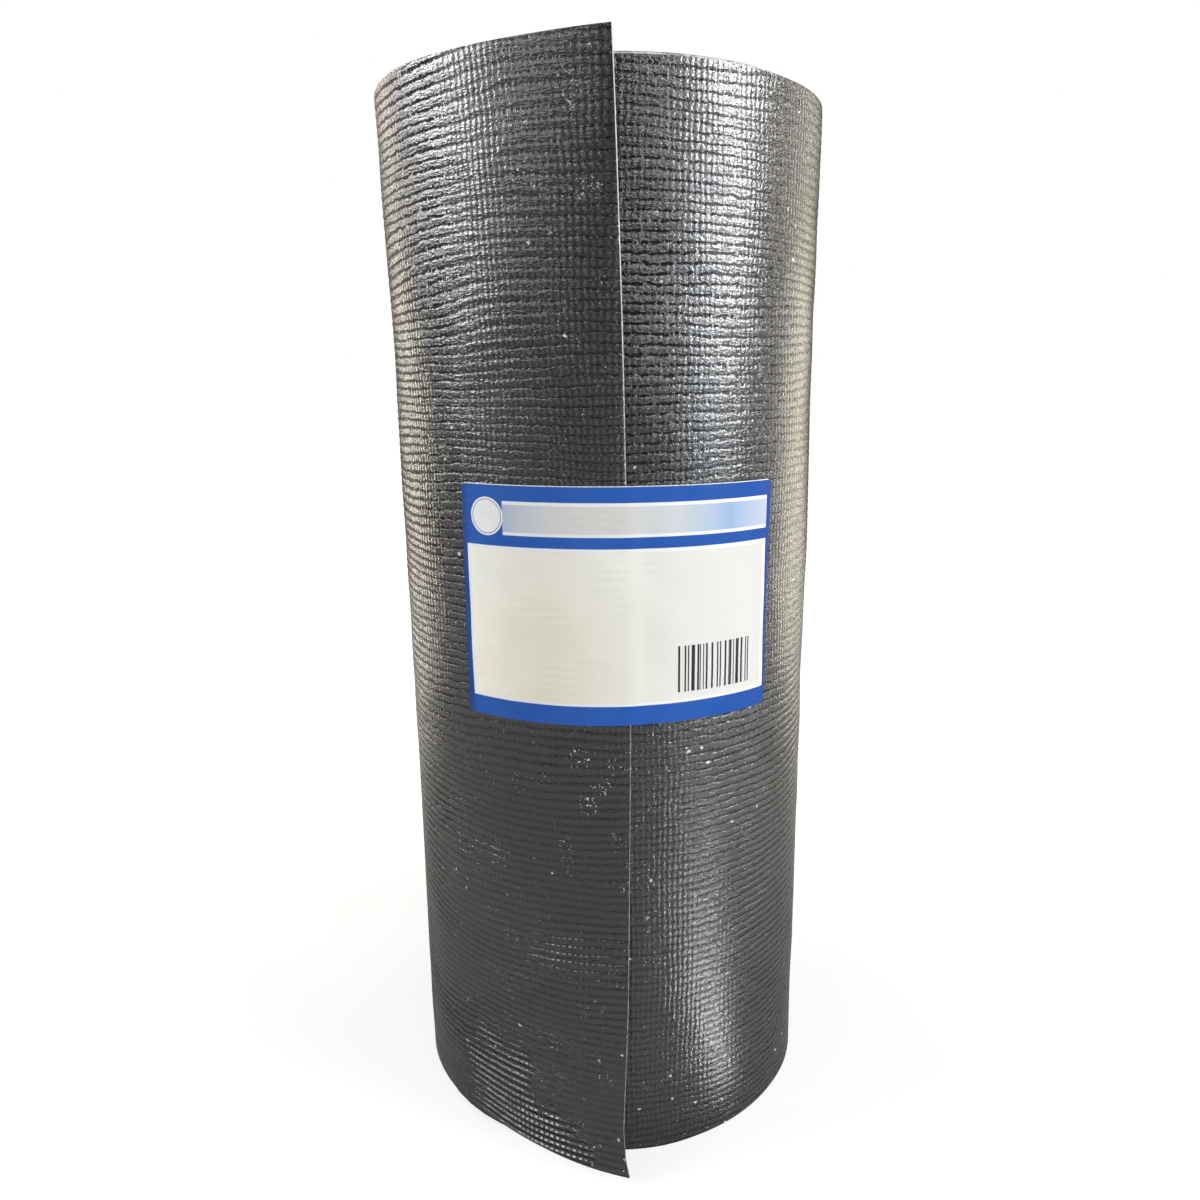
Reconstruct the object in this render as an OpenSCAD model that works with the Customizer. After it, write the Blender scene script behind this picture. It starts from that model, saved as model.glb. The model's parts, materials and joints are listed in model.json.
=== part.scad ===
// Roll of woven polyethylene flashing, standing on end. One long coated sheet is wound round an
// open bore. Its free end springs away from the roll at the top and at the bottom, and a paper
// label stuck across it holds it down in the middle.
// Origin: on the roll's axis, in the plane it stands on. +Z is up, and the label faces -Y.
// Angles are degrees round the axis from -Y, and grow towards +X.

/* [Roll] */
// Width of the sheet, which is the height of the standing roll
roll_height = 457.2; // [400:1:920]
// Outside radius of the wound sheet
roll_radius = 97; // [80:0.5:140]
// Diameter of the open bore
bore_diameter = 76.2; // [40:0.1:110]
// Thickness of the sheet
sheet = 0.55; // [0.4:0.05:1]
// Grooves that mark the turns on each end
turn_marks = 12; // [4:1:16]
// Depth of each groove
mark_depth = 0.6; // [0.2:0.1:1]

/* [Loose end] */
// Angle of the cut edge where the label holds it
cut_angle = 5.5; // [3:0.1:10]
// Height at which the cut edge reaches furthest round
cut_mid_height = 175; // [120:1:220]
// Angle that the cut edge has sprung back by at the top corner
cut_bow = 3.4; // [0:0.1:5]
// Height that the outer turn stands above its neighbour
outer_turn_rise = 3.9; // [0:0.1:6]
// How far the outer turn bulges off the roll near the top
top_bulge = 7.8; // [1:0.1:10]
// How far the cut edge stands off the roll at the top corner
top_flare = 19.5; // [11:0.1:30]
// How far the outer turn bulges off the roll near the bottom
bottom_bulge = 3.9; // [1:0.1:10]
// How far the cut edge stands off the roll at the bottom corner
bottom_flare = 21.4; // [11:0.1:30]

/* [Label] */
// Angle that the label spans
label_angle = 82; // [60:1:100]
// Angle of the label's middle
label_turn = 3.4; // [0:0.1:8]
// Height of the label
label_height = 98; // [60:0.1:120]
// Height of the label's lower edge above the floor
label_bottom = 207.9; // [190:0.1:230]
// Thickness of the label
label_thickness = 0.25; // [0.15:0.05:0.5]

/* [Hidden] */
bore_radius = bore_diameter / 2;
label_top = label_bottom + label_height;

// The outer turn leaves the body behind, at the back, and is loose from the left side onwards.
turn_start = -172;
loose_start = -90;
flare_start = -40;
bulge_spread_top = 50;
bulge_spread_bottom = 25;
flare_power_top = 2.4;
flare_power_bottom = 1.6;
height_power = 1.6;

// The turn's inner skin runs inside the body, so that the two are one solid.
skin_overlap = 0.6;
dive_depth = 1.4;
dive_height = 0.7;

// Rows and columns of the loose turn's surface
back_step = 6;
rows_below = 8;
rows_above = 7;
loose_columns = 24;
back_columns = ceil((loose_start - turn_start) / back_step);
columns = back_columns + loose_columns;
rows = rows_below + rows_above + 1;

label_step = 3;
label_gap = 0.02;
step_start = 0.3;
step_width = 1.4;
mark_half_width = mark_depth / 2;

function ease(x) = let (c = min(max(x, 0), 1)) c * c * (3 - 2 * c);

// Angle of the cut edge at height z
function cut_edge(z) = cut_angle - cut_bow * pow((z - cut_mid_height) / (roll_height - cut_mid_height), 2);

// Height of grid row j on the sheet: the label's two edges are rows of their own
function row_height(j) =
    j <= rows_below ? label_bottom * j / rows_below
    : label_top + (roll_height - label_top) * (j - rows_below - 1) / rows_above;

// Angle of grid column i at height z
function column_angle(i, z) =
    i <= back_columns ? turn_start + (loose_start - turn_start) * i / back_columns
    : loose_start + (cut_edge(z) - loose_start) * (i - back_columns) / loose_columns;

// Rise of the outer turn at angle a
function rise(a) = outer_turn_rise * ease((a - turn_start) / (loose_start - turn_start));

// Share of the full lift at height z, none where the label holds the sheet
function lift_above(z) = pow(max(0, z - label_top) / (roll_height - label_top), height_power);
function lift_below(z) = pow(max(0, label_bottom - z) / label_bottom, height_power);

// Distance that one end of the sheet stands off the roll at angle a
function stand_off(a, bulge, spread, flare, power) =
    bulge * ease((a - loose_start) / spread)
    + (flare - bulge) * pow(max(0, a - flare_start) / (cut_angle - flare_start), power);

function lift(a, z) =
    lift_above(z) * stand_off(a, top_bulge, bulge_spread_top, top_flare, flare_power_top)
    + lift_below(z) * stand_off(a, bottom_bulge, bulge_spread_bottom, bottom_flare, flare_power_bottom);

function on_roll(r, a, z) = [r * sin(a), -r * cos(a), z];

// Grid point of the turn's outer skin (inward = 0) or inner skin (inward = 1)
function turn_point(i, j, inward) =
    let (
        z = row_height(j),
        a = column_angle(i, z),
        dive = i == 0 ? 1 : 0,
        r = roll_radius + sheet + lift(a, z) - dive * dive_depth - inward * (sheet + skin_overlap),
        end_shift = j == 0 ? dive_height : j == rows ? -dive_height : 0
    )
    on_roll(r, a, z + rise(a) + dive * end_shift);

function skin(inward) = [for (j = [0 : rows], i = [0 : columns]) turn_point(i, j, inward)];
function at(i, j, inward) = inward * (rows + 1) * (columns + 1) + j * (columns + 1) + i;
function halves(a, b, c, d) = [[a, b, c], [a, c, d]];

function skin_faces(inward) = [
    for (j = [0 : rows - 1], i = [0 : columns - 1], f = inward == 0
        ? halves(at(i, j, 0), at(i, j + 1, 0), at(i + 1, j + 1, 0), at(i + 1, j, 0))
        : halves(at(i, j, 1), at(i + 1, j, 1), at(i + 1, j + 1, 1), at(i, j + 1, 1))) f
];

function side_faces() = [
    for (j = [0 : rows - 1], f = concat(
        halves(at(0, j, 1), at(0, j + 1, 1), at(0, j + 1, 0), at(0, j, 0)),
        halves(at(columns, j, 0), at(columns, j + 1, 0), at(columns, j + 1, 1), at(columns, j, 1)))) f
];

function rim_faces() = [
    for (i = [0 : columns - 1], f = concat(
        halves(at(i, rows, 0), at(i, rows, 1), at(i + 1, rows, 1), at(i + 1, rows, 0)),
        halves(at(i, 0, 0), at(i + 1, 0, 0), at(i + 1, 0, 1), at(i, 0, 1)))) f
];

// Radius of turn mark k
function mark_radius(k) = bore_radius + (roll_radius - bore_radius) * k / (turn_marks + 1);

// Grooves across one end, from the bore outwards
function end_line(z, depth) = [
    for (k = [1 : turn_marks], p = [[-mark_half_width, 0], [0, depth], [mark_half_width, 0]])
        [mark_radius(k) + p[0], z + p[1]]
];
function turned_back(line) = [for (n = [len(line) - 1 : -1 : 0]) line[n]];

module wound_body() {
    rotate_extrude($fn = 128)
        polygon(concat(
            [[bore_radius, 0]],
            end_line(0, mark_depth),
            [[roll_radius, 0], [roll_radius, roll_height]],
            turned_back(end_line(roll_height, -mark_depth)),
            [[bore_radius, roll_height]]));
}

module outer_turn() {
    polyhedron(
        points = concat(skin(0), skin(1)),
        faces = concat(skin_faces(0), skin_faces(1), side_faces(), rim_faces()),
        convexity = 6);
}

module roll() {
    color([0.13, 0.14, 0.15])
        union() {
            wound_body();
            outer_turn();
        }
}

// The label lies on the outer turn, steps down over its cut edge, and goes on along the body.
label_steps = round(label_angle / label_step);
function label_point_angle(n) = label_turn - label_angle / 2 + label_angle * n / label_steps;
function label_seat(a) =
    (roll_radius + sheet * (1 - ease((a - cut_angle - step_start) / step_width)))
    / cos(label_angle / label_steps / 2) + label_gap;
function label_line(out) = [
    for (n = [0 : label_steps])
        let (a = label_point_angle(n), r = label_seat(a) + out) [r * sin(a), -r * cos(a)]
];

module label() {
    color([0.93, 0.92, 0.87])
        translate([0, 0, label_bottom])
            linear_extrude(height = label_height)
                polygon(concat(label_line(label_thickness), turned_back(label_line(0))));
}

roll();
label();
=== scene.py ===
# Roll of woven polyethylene flashing, standing on end, with its loose end held down by a label.
import json
import math

import bpy
import numpy as np
from mathutils import Matrix, Vector


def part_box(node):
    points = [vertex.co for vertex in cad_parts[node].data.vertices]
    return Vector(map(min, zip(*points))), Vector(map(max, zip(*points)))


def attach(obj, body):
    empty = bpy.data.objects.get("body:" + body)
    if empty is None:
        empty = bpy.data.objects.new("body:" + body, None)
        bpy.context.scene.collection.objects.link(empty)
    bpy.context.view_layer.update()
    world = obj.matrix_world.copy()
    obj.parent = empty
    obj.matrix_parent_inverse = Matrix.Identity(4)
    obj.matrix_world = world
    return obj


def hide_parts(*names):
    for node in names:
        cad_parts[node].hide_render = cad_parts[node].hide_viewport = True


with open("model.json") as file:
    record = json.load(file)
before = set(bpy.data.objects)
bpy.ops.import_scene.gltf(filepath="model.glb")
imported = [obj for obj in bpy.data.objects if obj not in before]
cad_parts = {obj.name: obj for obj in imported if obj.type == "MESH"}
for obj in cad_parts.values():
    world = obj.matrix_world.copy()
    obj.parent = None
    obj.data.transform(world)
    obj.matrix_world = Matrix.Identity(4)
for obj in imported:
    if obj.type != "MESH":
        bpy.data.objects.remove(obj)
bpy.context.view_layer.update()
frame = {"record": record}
bpy.ops.object.select_all(action="DESELECT")

# ---- Camera ----
# Stands in front of the label, a little under five roll radii from the roll's axis, and looks down on
# it by 13 degrees. The roll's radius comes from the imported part.
roll_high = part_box("roll")[1]
roll_radius = roll_high.x
eye = Vector((0.0, -4.73652 * roll_radius, 3.55625 * roll_radius))
look_down, look_right, tilt = 0.22863, -0.00746, -0.01415
forward = Vector((math.sin(look_right) * math.cos(look_down),
                  math.cos(look_right) * math.cos(look_down), -math.sin(look_down)))
level = Vector((math.cos(look_right), -math.sin(look_right), 0.0))
upright = level.cross(forward)
right = math.cos(tilt) * level + math.sin(tilt) * upright
up = -math.sin(tilt) * level + math.cos(tilt) * upright
camera_data = bpy.data.cameras.new("camera")
camera_data.sensor_width = 36.0
camera_data.lens = 28.05
camera_data.clip_start = 0.02
camera = bpy.data.objects.new("camera", camera_data)
bpy.context.scene.collection.objects.link(camera)
camera.matrix_world = Matrix.Translation(eye) @ Matrix((right, up, -forward)).transposed().to_4x4()
bpy.context.scene.camera = camera
bpy.context.scene.view_settings.view_transform = "Standard"


# ---- Floor and backdrop ----
# A pale studio floor that runs out to a white backdrop. Both look white to the camera, apart from the
# roll's own soft shadow on the floor, and the gloss of the sheet shows them as a softer grey.
class Value:
    """A shader socket that takes part in Python sums, each adding the Math node that does it."""

    def __init__(self, tree, socket=None):
        self.tree, self.socket = tree, socket

    def node(self, kind, settings=None, inputs=None, output=0):
        """Any other node: its type, its settings, then its sockets' values or links."""
        made = self.tree.nodes.new(kind)
        for name, setting in (settings or {}).items():
            if name != "stops":
                setattr(made, name, setting)
                continue
            stops = made.color_ramp.elements
            while len(stops) < len(setting):
                stops.new(0.5)
            for stop, (position, tone) in zip(stops, setting):
                stop.position, stop.color = position, (*tone, 1.0)
        for name, value in (inputs or {}).items():
            if isinstance(value, Value):
                self.tree.links.new(value.socket, made.inputs[name])
            else:
                made.inputs[name].default_value = value
        return Value(self.tree, made.outputs[output])

    def math(self, operation, *others):
        return self.node("ShaderNodeMath", {"operation": operation}, dict(enumerate((self, *others))))

    def __add__(self, other):
        return self.math("ADD", other)

    def __sub__(self, other):
        return self.math("SUBTRACT", other)

    def __rsub__(self, other):
        return self.node("ShaderNodeMath", {"operation": "SUBTRACT"}, {0: other, 1: self})

    def __mul__(self, other):
        return self.math("MULTIPLY", other)

    __radd__, __rmul__ = __add__, __mul__

    def wave(self):
        """Cosine of this many whole turns."""
        return (self * (2 * math.pi)).math("COSINE")

    def between(self, low, high):
        """0 at low, 1 at high, eased between them."""
        return self.node("ShaderNodeMapRange", {"interpolation_type": "SMOOTHSTEP"},
                         {"Value": self, "From Min": low, "From Max": high})

    def tint(self, first, second):
        """The first colour where this is 0, the second where it is 1."""
        return self.node("ShaderNodeMix", {"data_type": "RGBA"}, {0: self, 6: first, 7: second}, 2)

    def length(self):
        return self.node("ShaderNodeVectorMath", {"operation": "LENGTH"}, {0: self}, 1)

    def drive(self, socket):
        self.tree.links.new(self.socket, socket)


def new_material(name):
    material = bpy.data.materials.new(name)
    material.use_nodes = True
    return material, Value(material.node_tree), material.node_tree.nodes["Principled BSDF"]


def rays(shade):
    """1 for a ray from the camera or through glass, and 1 for a ray reflected by gloss."""
    seen, in_glass, in_gloss = (shade.node("ShaderNodeLightPath", output=f"Is {kind} Ray")
                                for kind in ("Camera", "Transmission", "Glossy"))
    return seen + in_glass, in_gloss


floor_grey = 0.37
white_near, white_start, white_full = 0.68, 0.20, 0.80  # dimmer by the foot, full white further out
bpy.ops.mesh.primitive_plane_add(size=60.0, location=(0.0, 0.0, 0.0))
floor = bpy.context.object
floor.name = "floor"
floor_material, shade, shader = new_material("pale_floor")
shader.inputs["Base Color"].default_value = (floor_grey, floor_grey, floor_grey, 1.0)
shader.inputs["Roughness"].default_value = 1.0
shader.inputs["Specular IOR Level"].default_value = 0.0
shader.inputs["Emission Color"].default_value = (1.0, 1.0, 1.0, 1.0)
seen, in_gloss = rays(shade)
away = shade.node("ShaderNodeTexCoord", output="Object").length()
(seen * (away.between(white_start, white_full) * (1 - white_near) + white_near)
 + in_gloss * 0.065).drive(shader.inputs["Emission Strength"])
floor.data.materials.append(floor_material)

world = bpy.data.worlds.new("studio")
bpy.context.scene.world = world
world.use_nodes = True
background = world.node_tree.nodes["Background"]
background.inputs["Color"].default_value = (1.0, 1.0, 1.0, 1.0)
seen, in_gloss = rays(Value(world.node_tree))
room_light = 0.10
(seen * (1 - room_light) + in_gloss * 0.17 + room_light).drive(background.inputs["Strength"])


# ---- Lights ----
# Soft boxes all round. The narrow tall ones on the right give the bright band, the broad ones on the
# left the sheen there, and warm cards behind the pale strips along both sides. Small cards on the
# floor light the band's foot. Two black flags, seen only in gloss, keep the back and foot dark.
def soft_box(name, azimuth, low, high, width, radiance, colour=(1.0, 1.0, 1.0), distance=1.6):
    """An upright rectangular lamp round the roll, azimuth from the camera's side, facing the axis."""
    data = bpy.data.lights.new(name, "AREA")
    data.shape, data.size, data.size_y = "RECTANGLE", width, high - low
    data.energy, data.color = radiance * math.pi * width * (high - low), colour
    lamp = bpy.data.objects.new(name, data)
    bpy.context.scene.collection.objects.link(lamp)
    turn = math.radians(azimuth)
    place = Vector((distance * math.sin(turn), -distance * math.cos(turn), (low + high) / 2))
    facing = Vector((-place.x, -place.y, 0.0))
    lamp.matrix_world = Matrix.Translation(place) @ facing.to_track_quat("-Z", "Y").to_matrix().to_4x4()
    lamp.visible_camera = False
    return lamp


soft_box("right_key", 66.5, 0.44, 0.90, 0.36, 22.0)
soft_box("right_key_cool", 52, 0.44, 0.66, 0.32, 13.2, (0.86, 0.92, 1.0))
soft_box("right_high", 67.5, 0.90, 1.35, 0.86, 14.1)
soft_box("right_low", 55, 0.02, 0.42, 0.48, 4.2, (0.78, 0.92, 1.0))
soft_box("right_front_high", 18, 0.90, 1.35, 0.34, 6.8, (1.0, 0.97, 0.88))
soft_box("right_front", 32, 0.44, 1.35, 0.34, 2.1)
soft_box("right_side_low", 104, 0.02, 0.42, 0.34, 2.7)
soft_box("right_side_high", 104, 0.90, 1.35, 0.34, 6.1, (1.0, 0.92, 0.82))
soft_box("right_side_foot", 117, 0.00, 0.35, 0.19, 4.0, (1.0, 0.94, 0.80))
soft_box("right_card", 125, 0.00, 0.44, 0.17, 4.2, (1.0, 0.92, 0.72), distance=0.65)
soft_box("right_card_high", 131, 0.50, 1.20, 0.45, 2.8, (1.0, 0.92, 0.72))
soft_box("left_key", -79, 0.66, 1.35, 0.76, 10.4)
soft_box("left_key_low", -72, 0.44, 0.66, 0.38, 8.2)
soft_box("left_high", -104, 0.66, 1.35, 0.62, 5.6)
soft_box("left_side", -97, 0.44, 0.66, 1.00, 1.3)
soft_box("left_front", -44, 0.44, 1.35, 1.14, 1.4)
soft_box("left_card", -126, 0.00, 0.44, 0.09, 8.4, (1.0, 0.92, 0.74), distance=0.65)
soft_box("left_card_far", -132, 0.50, 0.70, 0.26, 5.0, (1.0, 0.92, 0.78))
soft_box("left_card_high", -136, 0.70, 1.20, 0.50, 3.0, (1.0, 0.88, 0.76))


def floor_card(name, azimuth, start, end, width, radiance):
    """A lamp face up just off the floor, reaching from start to end out from the roll's foot."""
    turn = math.radians(azimuth)
    away = Vector((math.sin(turn), -math.cos(turn), 0.0))
    lamp = soft_box(name, azimuth, 0.0, end - start, width, radiance)
    place = Vector((0.0, 0.0, 0.002)) + away * (roll_radius + (start + end) / 2)
    lamp.matrix_world = (Matrix.Translation(place) @ Matrix.Rotation(turn, 4, "Z")
                         @ Matrix.Rotation(math.pi, 4, "X"))


floor_card("floor_card_near", 42, 0.03, 0.09, 0.018, 10.5)
floor_card("floor_card_mid", 48, 0.09, 0.22, 0.030, 9.0)
floor_card("floor_card_far", 80, 0.22, 0.50, 0.15, 1.7)

black_cloth, shade, shader = new_material("black_cloth")
shader.inputs["Base Color"].default_value = (0.0, 0.0, 0.0, 1.0)
shader.inputs["Specular IOR Level"].default_value = 0.0
bpy.ops.mesh.primitive_plane_add(size=1.0, location=(0.0, 1.2, 0.65), rotation=(math.pi / 2, 0.0, 0.0))
flag = bpy.context.object
flag.name, flag.scale = "black_flag", (1.6, 1.3, 1.0)
bpy.ops.mesh.primitive_plane_add(size=1.0, location=(0.0, 0.6, 0.001))
floor_flag = bpy.context.object
floor_flag.name = "black_floor_flag"
flag_corners = (-0.12, -0.55), (0.12, -0.55), (-0.42, 0.6), (0.42, 0.6)
for vertex, corner in zip(floor_flag.data.vertices, flag_corners):
    vertex.co.xy = corner
for cloth in (flag, floor_flag):
    cloth.data.materials.append(black_cloth)
    cloth.visible_camera = cloth.visible_shadow = cloth.visible_diffuse = False

# ---- Wound body ----
# About a hundred turns of one long sheet: a cross-woven polyethylene scrim coated on both faces with
# dark polyethylene film. The film sinks between the tapes, so crosswise ribs and finer upright threads
# show through. The turns' slit edges make up both ends, and the inner ones stand a little proud.
bore = next(mount for mount in frame["record"]["mounts"] if mount["name"] == "bore")
roll_height = bore["dims"]["length_mm"] / 1000
bore_radius = bore["dims"]["r_mm"] / 1000
sheet = 0.00055  # one thickness
turns = round((roll_radius - bore_radius) / sheet)
rib_pitch, thread_pitch = 0.0036, 0.0024
rib_height = 0.00007  # from the mean surface to a rib's crest
rib_rows = 4 * round(roll_height / rib_pitch)  # four rows of faces to a rib
edge_groove = 0.00022  # between one turn's slit edge and the next
foot_share = 0.4  # how proud the inner edges stand at the foot, as a share of that at the top
# Angles are in degrees round the roll, from its front towards the right
cut_angle = 5.5  # where the sheet's outer end is cut
turn_start = -172.0  # where its last half turn leaves the body
seam = turn_start + 360


def ease(x):
    """0 up to 0, 1 from 1 on, and eased between them."""
    x = np.clip(x, 0.0, 1.0)
    return x * x * (3 - 2 * x)


def once_round(a):
    """The same angle, within one turn of where the loose turn starts."""
    return (a - turn_start) % 360 + turn_start


def drift(a, z, seed, waves, around, along):
    """A smooth random field over the sheet, about 1 high, that closes on itself round the roll."""
    pick = np.random.default_rng(seed)
    total = np.zeros_like(a)
    for _ in range(waves):
        across = pick.integers(-around, around + 1)
        upward = pick.uniform(-along, along)
        total += np.sin(np.radians(a) * across + 2 * math.pi * upward * z / roll_height
                        + pick.uniform(0, 2 * math.pi))
    return total / math.sqrt(waves)


def rib_phase(a, z):
    """Ribs counted up the sheet, closer together by the foot, and wandering as woven tapes do."""
    return (z / rib_pitch + 2.6 * (1 - np.exp(-z / 0.04)) + 0.42 * drift(a, z, 11, 14, 5, 6)
            + 0.09 * drift(a, z, 12, 14, 17, 16))


def thread_phase(a, z):
    """Upright threads counted round the roll."""
    return (np.radians(a) * roll_radius / thread_pitch + 0.30 * drift(a, z, 31, 12, 8, 5)
            + 0.08 * drift(a, z, 32, 12, 24, 20))


# angle, height, half width in degrees, half height, and how many times higher the ribs stand
creases = ((-31, 0.026, 12, 0.020, 3.9), (-15, 0.010, 12, 0.011, 3.6), (-8, 0.103, 11, 0.011, 1.8),
           (-40, 0.142, 15, 0.009, 1.5), (-12, 0.055, 8, 0.008, 1.9), (-20, 0.095, 14, 0.030, 0.5))


def relief(a, z):
    """Ribs, creased in patches where the loose turn was handled, and the sheet's shallow waves."""
    strength = 1.0 + 0.30 * drift(a, z, 21, 12, 14, 20) + 0.25 * drift(a, z, 22, 12, 34, 50)
    strength = np.clip(strength, 0.3, 1.8)
    around = once_round(a)
    uneven = np.clip(0.7 + 0.5 * drift(a, z, 23, 12, 24, 30), 0, 1.5)
    for angle, height, wide, tall, times in creases:
        strength += times * uneven * np.exp(-((around - angle) / wide) ** 2 - ((z - height) / tall) ** 2)
    left_side = ease((-30 - around) / 30) * ease((around + 150) / 30)
    strength *= 1 + 0.4 * left_side
    ribs = rib_height * strength * np.cos(2 * math.pi * rib_phase(a, z))
    waves = 0.00028 * drift(a, z, 41, 16, 7, 5) + 0.00010 * drift(a, z, 42, 18, 22, 16)
    return ribs + waves


def sheet_radius(a):
    """Outer face of the outermost sheet, which winds inwards by one thickness a turn."""
    return roll_radius + sheet * (a - cut_angle) / 360


def grid_shares(mesh):
    """How far across and up the new grid each vertex is, from 0 to 1."""
    co = np.empty(len(mesh.vertices) * 3)
    mesh.vertices.foreach_get("co", co)
    return ((co.reshape(-1, 3)[:, :2] + 1) / 2).T


def bend_grid(mesh, a, radius, z, layer, u, v):
    """Puts the grid's vertices round the roll's axis, and names and fills its UV map."""
    turn = np.radians(a)
    bent = np.column_stack((radius * np.sin(turn), -radius * np.cos(turn), z))
    mesh.vertices.foreach_set("co", bent.ravel())
    corner = np.empty(len(mesh.loops), np.int32)
    mesh.loops.foreach_get("vertex_index", corner)
    mesh.uv_layers[0].name = layer
    uvs = np.column_stack((u, v))[corner].astype(np.float32)
    mesh.uv_layers[layer].uv.foreach_set("vector", uvs.ravel())
    mesh.update()


def wound_grid(name, angles, rows, place):
    """A grid with a column at each angle; place gives angle, radius, height and two weave counts."""
    bpy.ops.mesh.primitive_grid_add(x_subdivisions=len(angles) - 1, y_subdivisions=rows, size=2.0)
    piece = bpy.context.object
    piece.name = piece.data.name = name
    across, upward = grid_shares(piece.data)
    column = np.rint(across * (len(angles) - 1)).astype(int)
    a, radius, z, u, v = place(column, np.asarray(angles, float)[column], upward)
    bend_grid(piece.data, a, radius, z, "weave", u, v)
    return piece


def end_height(a, count):
    """How far the slit edges stand proud of the outermost one, counting turns inwards from it."""
    inner = count - 1
    settled = 0.0008 * ease(inner / 30) * (1 + 0.4 * drift(a, 0.004 * count, 51, 8, 2, 30))
    front = 0.25 + 0.75 * ease(1.3 - np.abs(once_round(a) - 14) / 40)
    first_few = 0.0012 * ease(inner / 1.3) * (1 - 0.7 * ease((inner - 5) / 14)) * front
    return settled + first_few + 0.00012 * drift(a, 0.03 * count, 52, 10, 3, 40) * ease(inner / 3)


# Columns 6 degrees apart under the loose turn, 3 where the body shows, and closer by the seam
ring = ([turn_start, turn_start + 1.0] + list(np.arange(turn_start + 6.0, cut_angle - 3, 6.0))
        + list(np.arange(cut_angle, seam - 4, 3.0)) + [seam - 1.2, seam - 0.3])
full_ring = ring + [seam, seam]


def side_of_body(column, a, s):
    """The outermost sheet, whose last column steps in to meet the first."""
    closing = column == len(full_ring) - 1
    r = sheet_radius(np.where(closing, turn_start, a))
    z = s * roll_height
    return a, r + relief(a, z), z, thread_phase(a, z), rib_phase(a, z)


def end_of_body(side, edge):
    """The slit edges of every turn as one long ribbon wound inwards, two faces across each edge."""
    def place(column, winding, s):
        a = seam - winding
        cross = np.rint(s * 2)
        count = winding / 360 + cross / 2
        smooth = ease((count - 1) / 12)
        r = sheet_radius(seam) - sheet * count + relief(a, edge) * (1 - smooth)
        depth = np.where(cross == 1, 0.0, edge_groove) * ease(2 * (count - 1))
        z = np.maximum(edge + side * (end_height(a, count) - depth), 0)
        return a, r, z, np.radians(a) * r / thread_pitch, count
    return place


def bore_wall(column, a, s):
    """The innermost sheet, which joins the two ends."""
    last_turn = turns - 1 + np.where(column == len(full_ring) - 1, 1, 0)
    count = (seam - a + 360 * last_turn) / 360 + 1
    depth = edge_groove * ease(2 * (count - 1))
    low = np.maximum(foot_share * (end_height(a, count) - depth), 0)
    high = roll_height + end_height(a, count) - depth
    z = low + (high - low) * s
    return a, sheet_radius(seam) - sheet * count, z, thread_phase(a, z), rib_phase(a, z)


windings = [360 * turn + seam - a for turn in range(turns) for a in [seam] + ring[:0:-1]] + [360 * turns]
body = wound_grid("wound_side", full_ring, rib_rows, side_of_body)
top_end = wound_grid("top_end", windings, 2, end_of_body(1.0, roll_height))
bottom_end = wound_grid("bottom_end", windings, 2, end_of_body(foot_share, 0.0))
wall = wound_grid("bore_wall", full_ring, 48, bore_wall)


def parts(vector):
    """A vector's three parts."""
    first = vector.node("ShaderNodeSeparateXYZ", inputs={0: vector})
    return [Value(first.tree, socket) for socket in first.socket.node.outputs]


def stretched(vector, times):
    return vector.node("ShaderNodeVectorMath", {"operation": "MULTIPLY"}, {0: vector, 1: times})


def distance(vector, middle, times):
    """How far a vector lies from a middle, each part of the way counted so many times."""
    away = vector.node("ShaderNodeVectorMath", {"operation": "SUBTRACT"}, {0: vector, 1: middle})
    return stretched(away, times).length()


def speckle(vector, scale, detail=2.0, rough=0.55):
    """Noise over a vector, which stays around a half."""
    return vector.node("ShaderNodeTexNoise", inputs={"Vector": vector, "Scale": scale, "Detail": detail,
                                                     "Roughness": rough})


def handled(place):
    """How creased the loose turn is: its patches again, in Object coordinates."""
    total, uneven = 0.0, speckle(place, 70.0) * 2.4 - 1.2
    for angle, height, wide, tall, times in creases:
        turn, half_wide = math.radians(angle), math.radians(wide) * roll_radius
        middle = (roll_radius * math.sin(turn), -roll_radius * math.cos(turn), height)
        reach = distance(place, middle, (1 / half_wide, 1 / half_wide, 1 / tall)) + uneven
        total = (1 - reach.between(0.1, 2.0)) * times + total
    return total


# angle, height and reach of the loose turn's spots of painted glint
glint_spots = ((-6, 0.440, 0.007), (-17, 0.432, 0.006), (-15, 0.413, 0.008), (-2, 0.408, 0.005),
          (-7.6, 0.190, 0.005), (2.0, 0.186, 0.004), (-1.8, 0.177, 0.004), (-5.3, 0.169, 0.005))


def in_glint_spots(place, uv):
    """1 inside the spots of painted glint, measured over the weave, with a ragged edge."""
    total, uneven = 0.0, speckle(place, 300.0) * 1.6 - 0.8
    for angle, height, size in glint_spots:
        spot = np.array([angle], float), np.array([height], float)
        middle = (float(thread_phase(*spot)[0]), float(rib_phase(*spot)[0]), 0.0)
        reach = distance(uv, middle, (thread_pitch / size, rib_pitch / size, 0.0)) + uneven
        total = (1 - reach.between(0.4, 1.2)) + total
    return total


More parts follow.
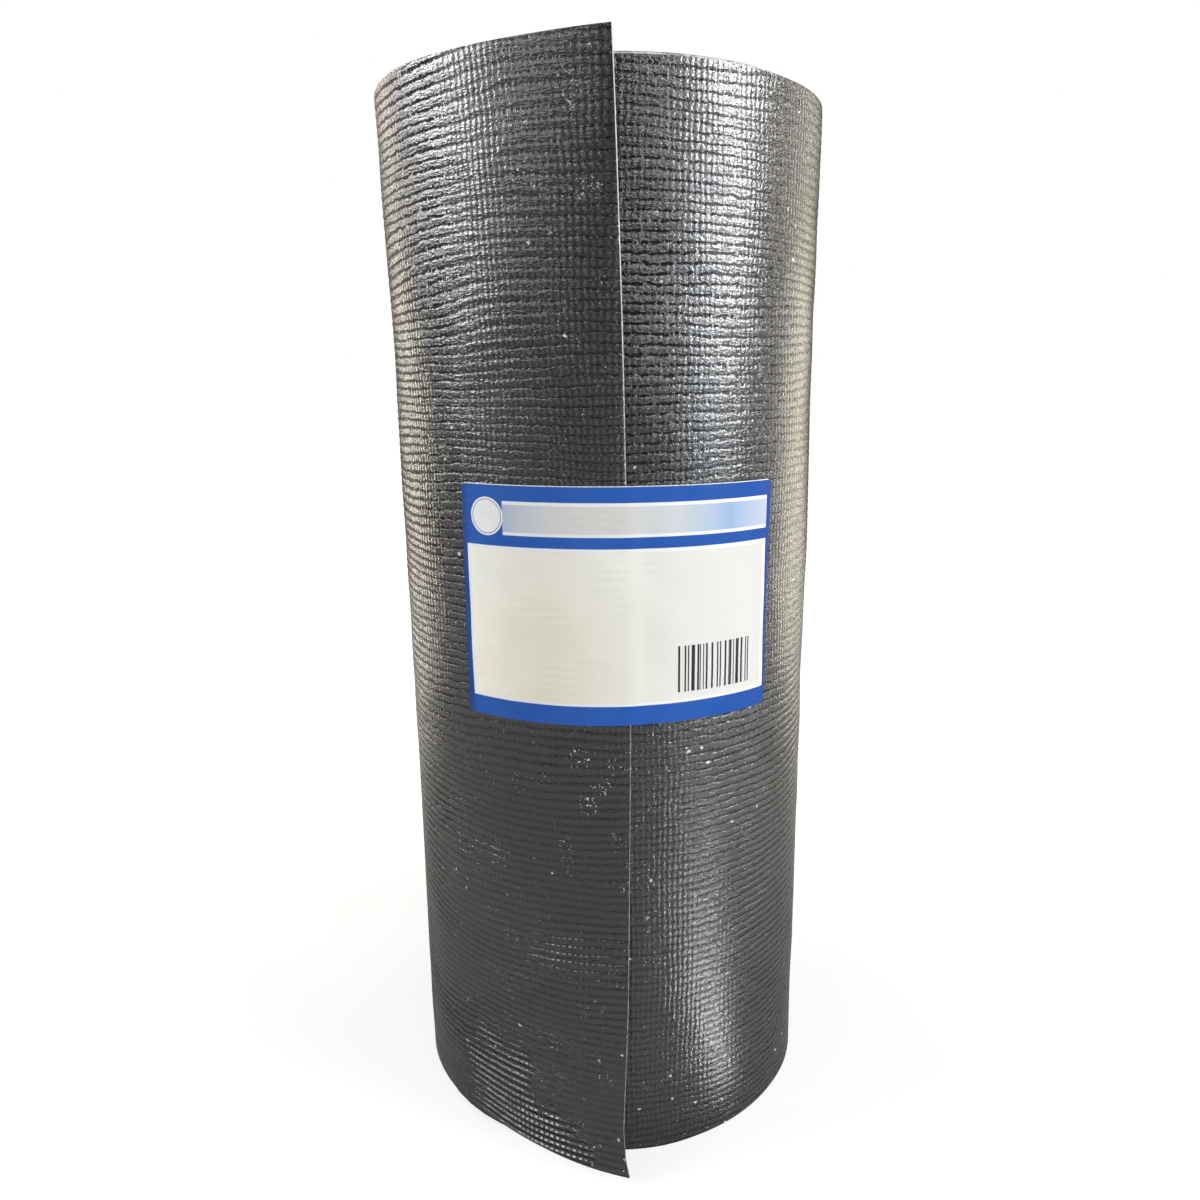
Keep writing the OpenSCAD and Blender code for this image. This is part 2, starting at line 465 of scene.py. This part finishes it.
def film_over_weave(name, grain, furrows, loose):
    """Glossy film over the tapes, sunk into dull furrows between them, which carry painted shade, with
    painted glints on the weave. The loose turn's is also creased, has spots of painted glint, and is calmer
    low down."""
    film, shade, shader = new_material(name)
    uv = shade.node("ShaderNodeUVMap", {"uv_map": "weave"})
    place = shade.node("ShaderNodeTexCoord", output="Object")
    thread, rib, _ = parts(uv)
    rightward, _, up_the_roll = parts(place)

    # Places on the roll where the relief, the painted furrow shade and the painted glints change: towards
    # the top, where the film is drawn in harder, the left side, the right side's foot, a belt half way up
    # the body, the lower half of the loose turn, and the upper left
    higher_up = up_the_roll.between(0.12, 0.38) * 0.6 + 0.4
    left_side = 1 - rightward.between(-0.085, -0.035)
    right_foot = rightward.between(0.02, 0.06) * (1 - up_the_roll.between(0.18, 0.26))
    belt = 0.0 if loose else up_the_roll.between(0.22, 0.28) * (1 - up_the_roll.between(0.38, 0.44))
    calm = 1 - up_the_roll.between(0.17, 0.25) if loose else 0.0
    upper_left = up_the_roll.between(0.28, 0.42) * (1 - rightward.between(-0.02, 0.03))

    # The weave, with its tapes, threads and fibres
    waver = speckle(stretched(uv, (0.45, 0.8, 1.0)), 1.0, 2.0, 0.5)
    ragged = speckle(stretched(uv, (2.8, 1.8, 1.0)), 1.0, 2.0, 0.6)
    fibre = speckle(stretched(uv, (1.0, 4.5, 1.0)), 1.0, 2.0, 0.6)
    dash = speckle(stretched(uv, (0.9, 3.0, 1.0)), 1.0, 1.0, 0.5)
    grit, patch = speckle(place, 1500.0, 1.0), speckle(place, 38.0, 3.0)
    crest = (rib + waver * 0.55).wave() * 0.5 + 0.5
    tape = (thread + waver * 0.6).wave()
    rough = (fibre * 2.2 + grit * 1.6 + dash * 1.6
             + speckle(place, 800.0, 1.0) * (3.4 - higher_up * 2.4))

    # The furrows, how far the film follows them, and how much painted shade they take
    groove = (left_side * 0.15 + right_foot * 0.10 + belt * 0.06 + (dash - 0.5) * (belt + left_side) * 1.1
              + 1.70 - crest - ragged * 1.4).between(0.80, 1.0)
    sunk_and_shaded = left_side * 0.7 + right_foot * 0.9 + belt * 0.08 + furrows
    if loose:
        sunk_and_shaded = (sunk_and_shaded * (1 - calm * 0.6)
                + calm * speckle(place, 17.0, 1.0).between(0.42, 0.58) * (left_side * 0.8 + 0.7))
    height = (tape * (0.70 - higher_up * 0.30 - right_foot * 0.35 - calm * 0.42 - belt * 0.14)
              + crest * (right_foot * 1.3 + belt * 0.3 + 0.7)
              - groove * higher_up * 0.9 * sunk_and_shaded
              + rough * (left_side * 0.45 + grain) + (rib * 0.5).wave() * 0.25)
    roughness = patch * 0.10 + 0.07 + grit * 0.06
    if loose:
        worked = handled(place)
        height = height + ((rib + waver * 0.2).wave() * 1.15 + tape * 0.4) * worked
        roughness = roughness + worked * 0.04
    bump = shade.node("ShaderNodeBump", inputs={"Height": height, "Distance": 0.00010, "Strength": 1.0})

    # Near black film with painted glints, paler where tapes and threads cross and stronger higher up, then
    # fine pale specks, small flecks of painted glint, and on the loose turn spots of painted glint
    painted_glints = (crest * (tape * 0.5 + 0.5) * (speckle(place, 500.0) + 0.1)
              * (patch * higher_up * 1.2 + 0.30) * (1 - calm * 0.6))
    film_colour = painted_glints.tint((0.004, 0.004, 0.0042, 1.0), (0.090, 0.090, 0.092, 1.0))
    # Fine pale specks scattered over the film
    fine_specks = (speckle(place, 1100.0, 2.0, 0.7).between(0.665, 0.70)
            * speckle(place, 75.0).between(0.54, 0.62))
    # Small pale flecks of painted glint, more of them in the upper left
    cell = shade.node("ShaderNodeTexVoronoi", {"feature": "F1"}, {
        "Vector": place, "Scale": 130.0, "Randomness": 1.0})
    glint_flecks = ((speckle(place, 1100.0) * 0.42 - 0.12 - cell).between(0.0, 0.02)
             * (speckle(place, 30.0, 1.0) + upper_left * 0.03).between(0.53, 0.59))
    specks = fine_specks.math("MAXIMUM", glint_flecks)
    if loose:
        # Pale specks of painted glint inside the loose turn's spots
        pale_marks = speckle(place, 800.0, 2.0, 0.7).between(0.61, 0.65) * in_glint_spots(place, uv)
        specks = specks.math("MAXIMUM", pale_marks)
    specks.tint(film_colour, (0.70, 0.68, 0.65, 1.0)).drive(shader.inputs["Base Color"])
    roughness.drive(shader.inputs["Roughness"])
    bump.drive(shader.inputs["Normal"])
    shader.inputs["IOR"].default_value = 1.6
    shader.inputs["Specular IOR Level"].default_value = 1.0

    # Painted shade: a dark, dull finish laid into the furrows where the film sinks, and on the body less of
    # it at a slant
    painted_furrow_shade = shade.node("ShaderNodeBsdfPrincipled", inputs={
        "Base Color": (0.006, 0.006, 0.006, 1.0), "Roughness": 0.35, "Specular IOR Level": 0.04,
        "Normal": bump})
    share = groove * (higher_up * 0.95 - 0.05) * sunk_and_shaded
    if not loose:
        slant = shade.node("ShaderNodeLayerWeight", inputs={"Blend": 0.5}, output="Facing")
        share = (share * (1 - slant.between(0.35, 0.70) * (1 - right_foot) * 0.75)
                 * (1 - rightward.between(0.02, 0.06) * 0.2))
    glossy = Value(shade.tree, shader.outputs[0])
    shade.node("ShaderNodeMixShader", inputs={0: share, 1: glossy, 2: painted_furrow_shade}).drive(
        shade.tree.nodes["Material Output"].inputs["Surface"])
    return film


wound_film = film_over_weave("wound_film", 1.0, 1.0, loose=False)

wound_ends, shade, shader = new_material("wound_ends")
uv = shade.node("ShaderNodeUVMap", {"uv_map": "weave"})
place = shade.node("ShaderNodeTexCoord", output="Object")
_, count, _ = parts(uv)
edge = (1 - count.wave()) * 0.5
worn = speckle(place, 350.0, 3.0).between(0.35, 0.65)
outer_few = 1 - count.between(2.0, 4.5)
pale_marks = (outer_few * 0.55 + edge.between(0.15, 0.55) * 0.40) * (worn * 0.6 + 0.4)
pale_marks.tint((0.012, 0.012, 0.013, 1.0), (0.75, 0.75, 0.73, 1.0)).drive(shader.inputs["Base Color"])
(0.62 - worn * 0.15).drive(shader.inputs["Roughness"])

for piece, finish in ((body, wound_film), (wall, wound_film),
                      (top_end, wound_ends), (bottom_end, wound_ends)):
    piece.data.materials.clear()
    piece.data.materials.append(finish)
bpy.ops.object.select_all(action="DESELECT")
for piece in (wall, top_end, bottom_end, body):
    piece.select_set(True)
bpy.context.view_layer.objects.active = body
bpy.ops.object.join()
body.name = body.data.name = "wound_body"
bpy.ops.object.mode_set(mode="EDIT")
bpy.ops.mesh.select_all(action="SELECT")
bpy.ops.mesh.remove_doubles(threshold=1e-6)
bpy.ops.mesh.fill_holes(sides=4)
bpy.ops.mesh.normals_make_consistent(inside=False)
bpy.ops.object.mode_set(mode="OBJECT")
bpy.ops.object.shade_smooth_by_angle(angle=math.radians(50))
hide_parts("roll")
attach(body, "root")

# ---- Loose outer turn ----
# The last half turn of the sheet. It leaves the body at the back, bulges away from it on the left, and
# curls out above and below the label that holds its cut edge down. The cut bares the scrim's pale core,
# painted paler towards the top as a painted highlight.
loose_start, flare_start = -90.0, -40.0
cut_mid_height, cut_bow = 0.175, 3.4
slack = 0.00003  # between the loose turn and the body where they touch
clear_of_floor = 0.00012
label_foot, label_top = (corner.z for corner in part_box("label"))
outer_turn_rise = roll_high.z - roll_height


def cut_edge(z):
    """Angle of the slightly bowed cut, drawn back here and there below the label."""
    drawn_back = np.interp(z, (0.0, 0.008, 0.022, 0.078, 0.13, 0.2), (0.7, 1.6, 2.1, 1.2, 0.75, 0.0))
    return cut_angle - cut_bow * ((z - cut_mid_height) / (roll_height - cut_mid_height)) ** 2 - drawn_back


def stand_off(a, bulge, spread, flare, power):
    """How far the loose turn stands off the body: a bulge, then a curl out to flare at the cut."""
    curl = np.clip((a - flare_start) / (cut_angle - flare_start), 0, None) ** power
    return bulge * ease((a - loose_start) / spread) + (flare - bulge) * curl


def lift(a, z):
    """Nothing behind the label, and more and more towards both ends."""
    above = (np.clip(z - label_top, 0, None) / (roll_height - label_top)) ** 1.6
    below = (np.clip(label_foot - z, 0, None) / label_foot) ** 1.6
    return above * stand_off(a, 0.0078, 50, 0.0195, 2.4) + below * stand_off(a, 0.0012, 25, 0.0209, 1.6)


outer_angles = ([turn_start, turn_start + 0.3, turn_start + 1.2]
                + list(np.linspace(turn_start + 3.5, cut_angle - 0.42, 59)) + [cut_angle - 0.20, cut_angle])
columns = len(outer_angles) - 1


def loose_turn(column, a, s):
    """The sheet from its start to the cut edge, whose last two columns draw in to round it over."""
    z = s * roll_height
    share = (a - turn_start) / (cut_angle - turn_start)
    at = turn_start + (cut_edge(z) - turn_start) * share
    rounding = np.array([0.0, 0.00012, 0.00038])[np.clip(column - columns + 2, 0, 2)]
    r = sheet_radius(at + 360) + lift(at, z) + relief(at, z) - rounding
    rise = outer_turn_rise * ease((at - turn_start) / (loose_start - turn_start))
    return at, r, np.maximum(z + rise, clear_of_floor), thread_phase(at, z), rib_phase(at, z)


outer = wound_grid("outer_turn", outer_angles, rib_rows, loose_turn)
slit_edge, shade, shader = new_material("slit_edge")
place = shade.node("ShaderNodeTexCoord", output="Object")
_, _, up_the_roll = parts(place)
# The cut edge shows the scrim's pale core, painted paler towards the top as a painted highlight, uneven in
# tone
(up_the_roll.between(0.26, 0.42) * 0.6 + speckle(place, 250.0, 3.0) * 0.8 - 0.3).tint(
    (0.10, 0.10, 0.10, 1.0), (0.80, 0.80, 0.79, 1.0)).drive(shader.inputs["Base Color"])
shader.inputs["Roughness"].default_value = 0.5
outer.data.materials.append(film_over_weave("loose_film", 0.6, 0.7, loose=True))
outer.data.materials.append(slit_edge)
for face in outer.data.polygons:
    face.material_index = int(face.index % columns == columns - 1)
thicken = outer.modifiers.new("sheet", "SOLIDIFY")
thicken.thickness, thicken.offset = sheet - slack, -1.0
bpy.ops.object.modifier_apply(modifier="sheet")
bpy.ops.object.shade_smooth_by_angle(angle=math.radians(50))
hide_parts("roll")
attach(outer, "root")

# ---- Label ----
# A self-adhesive paper label stuck across the cut edge, which holds the loose end down. It takes the
# shape of the sheet below, whose ribs and step show through faintly. Printed in blue, silver and cream,
# with painted shade darkening the cream and blue towards its right and painted reflection in the silver.
label_width, label_tall = 0.1390, 0.0979
corner_radius = 0.0030
label_face = 0.00025  # how far its face stands off the sheet
paper = 0.00016
# angle round the roll and height of the corners: bottom left, bottom right, top left, top right
label_corners = ((-37.45, 0.2083), (44.35, 0.2074), (-37.0, 0.3063), (45.05, 0.3051))

bpy.ops.mesh.primitive_grid_add(x_subdivisions=140, y_subdivisions=96, size=2.0)
label = bpy.context.object
label.name = label.data.name = "printed_label"
across, upward = grid_shares(label.data)
across, upward = across * label_width, upward * label_tall


def into_corner(depth, other):
    """A point's depth in a corner once the corner's square is drawn in to a quarter disc."""
    return depth * np.sqrt(1 - np.clip(other, 0, None) ** 2 / 2)


middle_x, middle_y = label_width / 2, label_tall / 2
straight_x, straight_y = middle_x - corner_radius, middle_y - corner_radius
left_or_right, down_or_up = np.sign(across - middle_x), np.sign(upward - middle_y)
past_x = (np.abs(across - middle_x) - straight_x) / corner_radius
past_y = (np.abs(upward - middle_y) - straight_y) / corner_radius
rounded_x = middle_x + left_or_right * (straight_x + corner_radius * into_corner(past_x, past_y))
rounded_y = middle_y + down_or_up * (straight_y + corner_radius * into_corner(past_y, past_x))
in_corner = (past_x > 0) & (past_y > 0)
across = np.where(in_corner, rounded_x, across)
upward = np.where(in_corner, rounded_y, upward)
u, v = across / label_width, upward / label_tall
(a00, z00), (a10, z10), (a01, z01), (a11, z11) = label_corners
a = a00 * (1 - u) * (1 - v) + a10 * u * (1 - v) + a01 * (1 - u) * v + a11 * u * v
z = z00 * (1 - u) * (1 - v) + z10 * u * (1 - v) + z01 * (1 - u) * v + z11 * u * v
# Past the cut edge it steps down by one sheet. It bridges half the ribs' height, and crinkles a little.
on_loose_turn = 1 - ease((a - cut_edge(z) + 0.3) / 5.0)
ribs = rib_height * np.cos(2 * math.pi * rib_phase(a, z))
r = (sheet_radius(a) + sheet * on_loose_turn + relief(a, z) - 0.5 * ribs + label_face
     + on_loose_turn * lift(a, z) + 0.00005 * drift(a, z, 61, 14, 40, 24))
print_slip = 0.001 * (1 - v)  # the print was set a millimetre out at the foot
bend_grid(label.data, a, r, z, "print", (across - print_slip) * 1000, upward * 1000)
thicken = label.modifiers.new("paper", "SOLIDIFY")
thicken.thickness, thicken.offset = paper, -1.0
bpy.ops.object.modifier_apply(modifier="paper")
bpy.ops.object.shade_smooth_by_angle(angle=math.radians(50))

label_print, shade, shader = new_material("label_print")
place = shade.node("ShaderNodeTexCoord", output="Object")
# The print is laid out in millimetres from the label's bottom left corner
x, y, _ = parts(shade.node("ShaderNodeUVMap", {"uv_map": "print"}))


def inside(value, low, high, soft=0.12):
    """1 between low and high, with edges as soft as print's."""
    return value.between(low - soft, low + soft) * (1 - value.between(high - soft, high + soft))


def ink_and_painted_light(*stops):
    """A colour that changes from the label's left side to its right, partly as painted light."""
    return shade.node("ShaderNodeValToRGB", {"stops": stops}, {0: x * (0.001 / label_width)})


# The blue and cream are the print's own colours, painted darker towards the right as painted shade; the
# silver is the print's grey with painted reflection, bluish towards its ends
blue = ink_and_painted_light((0.0, (0.010, 0.05, 0.25)), (0.03, (0.016, 0.100, 0.43)), (0.45, (0.017, 0.102, 0.45)),
           (0.75, (0.006, 0.080, 0.37)), (0.97, (0.004, 0.060, 0.30)), (1.0, (0.01, 0.05, 0.24)))
cream = ink_and_painted_light((0.0, (0.96, 0.95, 0.82)), (0.10, (0.94, 0.92, 0.80)), (0.28, (0.86, 0.82, 0.68)),
            (0.50, (0.82, 0.80, 0.72)), (0.70, (0.75, 0.745, 0.72)), (1.0, (0.60, 0.60, 0.58)))
silver = ink_and_painted_light((0.14, (0.44, 0.52, 0.68)), (0.20, (0.56, 0.60, 0.68)), (0.30, (0.67, 0.67, 0.66)),
             (0.45, (0.68, 0.67, 0.64)), (0.66, (0.60, 0.63, 0.66)), (0.76, (0.42, 0.52, 0.65)),
             (0.835, (0.29, 0.40, 0.60)), (0.85, (0.34, 0.44, 0.62)), (0.97, (0.46, 0.50, 0.60)))
white = (0.84, 0.85, 0.85, 1.0)

# A silver band framed in white across the blue top, and a cream panel framed in white below it
band = inside(x, 20.2, 136.2)
colour = (inside(y, 77.7, 91.35) * band).tint(blue, white)
colour = (inside(y, 79.0, 89.95) * band).tint(colour, silver)
colour = (inside(y, 8.1, 73.1) * inside(x, 2.2, 136.5)).tint(colour, white)
paler_top = (y.between(35.0, 71.0) * 0.35 * (1 - x.between(60.0, 110.0))).tint(
    cream, (0.95, 0.95, 0.93, 1.0))
panel = (speckle(place, 60.0, 4.0) * 0.16).tint(paler_top, (0.55, 0.53, 0.48, 1.0))
colour = (inside(y, 9.3, 71.6) * inside(x, 3.5, 134.9, 0.3)).tint(colour, panel)

# A plain disc with a blue ring by the band's left end, the paper's bare top edge, and plain bars
dx, dy = x - 12.6, y - 84.9
reach = (dx * dx + dy * dy).math("SQRT")
colour = (1 - reach.between(7.65, 7.95)).tint(colour, white)
colour = inside(reach, 6.75, 7.0, 0.1).tint(colour, (0.01, 0.05, 0.26, 1.0))
colour = y.between(97.5, 97.7).tint(colour, white)
bars = ((x * 0.455).wave() + (x * 0.323 + 0.16).wave() + (x * 0.73 + 0.4).wave()).between(0.26, 0.34)
bars = bars * inside(x, 91.6, 127.2, 0.08) * inside(y, 12.4, 32.2, 0.08)
colour = bars.tint(colour, (0.02, 0.02, 0.025, 1.0))
colour = (speckle(place, 60.0, 4.0) * 0.06).tint(colour, (0.50, 0.52, 0.55, 1.0))
colour.drive(shader.inputs["Base Color"])
(speckle(place, 90.0, 3.0) * 0.16 + 0.36).drive(shader.inputs["Roughness"])
shader.inputs["Specular IOR Level"].default_value = 0.07
paper_grain = speckle(place, 900.0) * 0.3 + speckle(place, 160.0)
shade.node("ShaderNodeBump", inputs={"Height": paper_grain, "Distance": 0.00010, "Strength": 0.8}).drive(
    shader.inputs["Normal"])
label.data.materials.append(label_print)
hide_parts("label")
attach(label, "root")
